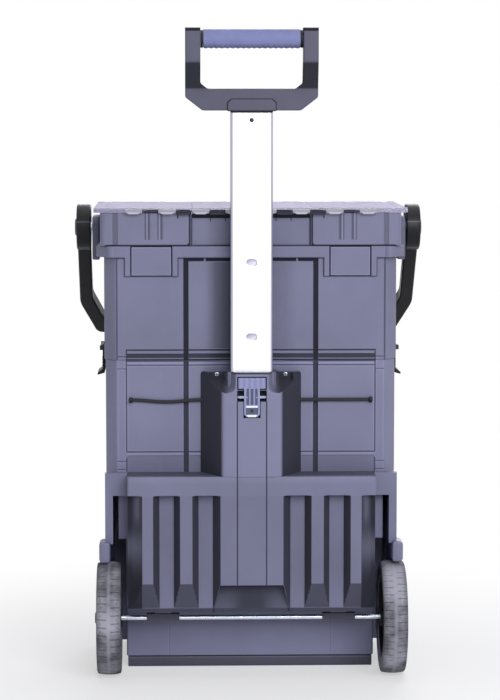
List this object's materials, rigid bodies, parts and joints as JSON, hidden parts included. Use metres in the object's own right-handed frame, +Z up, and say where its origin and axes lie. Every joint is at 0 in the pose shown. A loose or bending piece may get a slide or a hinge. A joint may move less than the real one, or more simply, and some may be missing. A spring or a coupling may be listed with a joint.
{
  "type": "rolling toolbox",
  "caption": "Rolling toolbox: deep bin with an organiser-topped box, carry bail, telescopic pull handle and two wheels.",
  "frame": {"origin": "on the floor, under the middle of the bounding box", "axes": "+Z up, the pull handle stands at the back, which faces -Y; +X is to the right as seen from the back"},
  "size_m": [0.5586, 0.414, 1.0135],
  "materials": {
    "grey_moulding": "fine satin texture, as moulded",
    "dark_moulding": "satin",
    "black_moulding": "satin",
    "grip_soft": "soft-touch, finely ribbed",
    "aluminium": "drawn and anodised, satin",
    "steel": "bright zinc",
    "tyre_tread": "dusty rubber with fine sipes",
    "clear_cover": "clear, slightly frosted",
    "elastic": "braided sleeve"
  },
  "bodies": {
    "chassis": {"lower_bin": "grey_moulding", "base_skid": "dark_moulding", "upper_box": "grey_moulding", "rear_block_left": "grey_moulding", "rear_block_right": "grey_moulding", "trolley_panel": "grey_moulding", "wheel_arch_left": "grey_moulding", "wheel_arch_right": "grey_moulding", "handle_housing": "grey_moulding", "housing_screw_left": "steel", "housing_screw_right": "steel", "rocker_pin": "steel", "lock_spring": "steel", "axle": "steel", "axle_clip_left": "dark_moulding", "axle_clip_right": "dark_moulding", "elastic_cord": "elastic", "cord_anchor_left": "black_moulding", "cord_anchor_right": "black_moulding", "latch_pin_left": "steel", "latch_pin_right": "steel", "bail_pin_left": "steel", "bail_pin_right": "steel"},
    "organisers": {"organiser_left": "grey_moulding", "organiser_centre": "grey_moulding", "organiser_right": "grey_moulding", "divider_left_1": "dark_moulding", "divider_left_2": "dark_moulding", "divider_centre_1": "dark_moulding", "divider_right_1": "dark_moulding", "divider_right_2": "dark_moulding", "cover_hinge_pin": "steel"},
    "cover": {"clear_cover": "clear_cover"},
    "cover_latch_l": {"cover_latch_left": "black_moulding"},
    "cover_latch_r": {"cover_latch_right": "black_moulding"},
    "side_latch_l": {"side_latch_left": "black_moulding"},
    "side_latch_r": {"side_latch_right": "black_moulding"},
    "lock": {"lock_rocker": "dark_moulding", "lock_pin": "steel"},
    "pull_handle": {"pull_tube": "aluminium", "tube_screw": "steel", "tube_foot": "black_moulding", "handle_head": "dark_moulding", "handle_grip": "grip_soft", "grip_collar_left": "black_moulding", "grip_collar_right": "black_moulding"},
    "bail": {"carry_bail": "black_moulding", "bail_cap_left": "dark_moulding", "bail_cap_right": "dark_moulding"},
    "wheel_l": {"tyre_left": "tyre_tread", "wheel_hub_left": "black_moulding", "wheel_bush_left": "dark_moulding", "axle_cap_left": "black_moulding"},
    "wheel_r": {"tyre_right": "tyre_tread", "wheel_hub_right": "black_moulding", "wheel_bush_right": "dark_moulding", "axle_cap_right": "black_moulding"}
  },
  "joints": [
    {"name": "organisers_lift", "type": "slide", "parent": "chassis", "child": "organisers", "axis": [0, 0, 1], "range_m": [0, 0.09]},
    {"name": "cover_hinge", "type": "hinge", "parent": "organisers", "child": "cover", "pos_m": [0, -0.1245, 0.7305], "axis": [1, 0, 0], "range_deg": [0, 90]},
    {"name": "cover_latch_left_hinge", "type": "hinge", "parent": "cover", "child": "cover_latch_l", "pos_m": [-0.159, 0.1741, 0.7309], "axis": [1, 0, 0], "range_deg": [0, 90]},
    {"name": "cover_latch_right_hinge", "type": "hinge", "parent": "cover", "child": "cover_latch_r", "pos_m": [0.159, 0.1741, 0.7309], "axis": [1, 0, 0], "range_deg": [0, 90]},
    {"name": "side_latch_left_hinge", "type": "hinge", "parent": "chassis", "child": "side_latch_l", "pos_m": [-0.235, 0, 0.51], "axis": [0, 1, 0], "range_deg": [0, 100]},
    {"name": "side_latch_right_hinge", "type": "hinge", "parent": "chassis", "child": "side_latch_r", "pos_m": [0.235, 0, 0.51], "axis": [0, -1, 0], "range_deg": [0, 100]},
    {"name": "lock_rock", "type": "hinge", "parent": "chassis", "child": "lock", "pos_m": [0, -0.171, 0.4448], "axis": [-1, 0, 0], "range_deg": [0, 10], "stiffness_Nm_per_rad": 0.06, "springref_deg": -11.46},
    {"name": "pull_handle_slide", "type": "slide", "parent": "chassis", "child": "pull_handle", "axis": [0, 0, 1], "range_m": [-0.2308, 0]},
    {"name": "bail_swing", "type": "hinge", "parent": "chassis", "child": "bail", "pos_m": [0, 0.031, 0.699], "axis": [1, 0, 0], "range_deg": [0, 136]},
    {"name": "wheel_left_spin", "type": "hinge", "parent": "chassis", "child": "wheel_l", "pos_m": [-0.2233, -0.118, 0.089], "axis": [1, 0, 0], "continuous": true},
    {"name": "wheel_right_spin", "type": "hinge", "parent": "chassis", "child": "wheel_r", "pos_m": [0.2233, -0.118, 0.089], "axis": [1, 0, 0], "continuous": true}
  ]
}
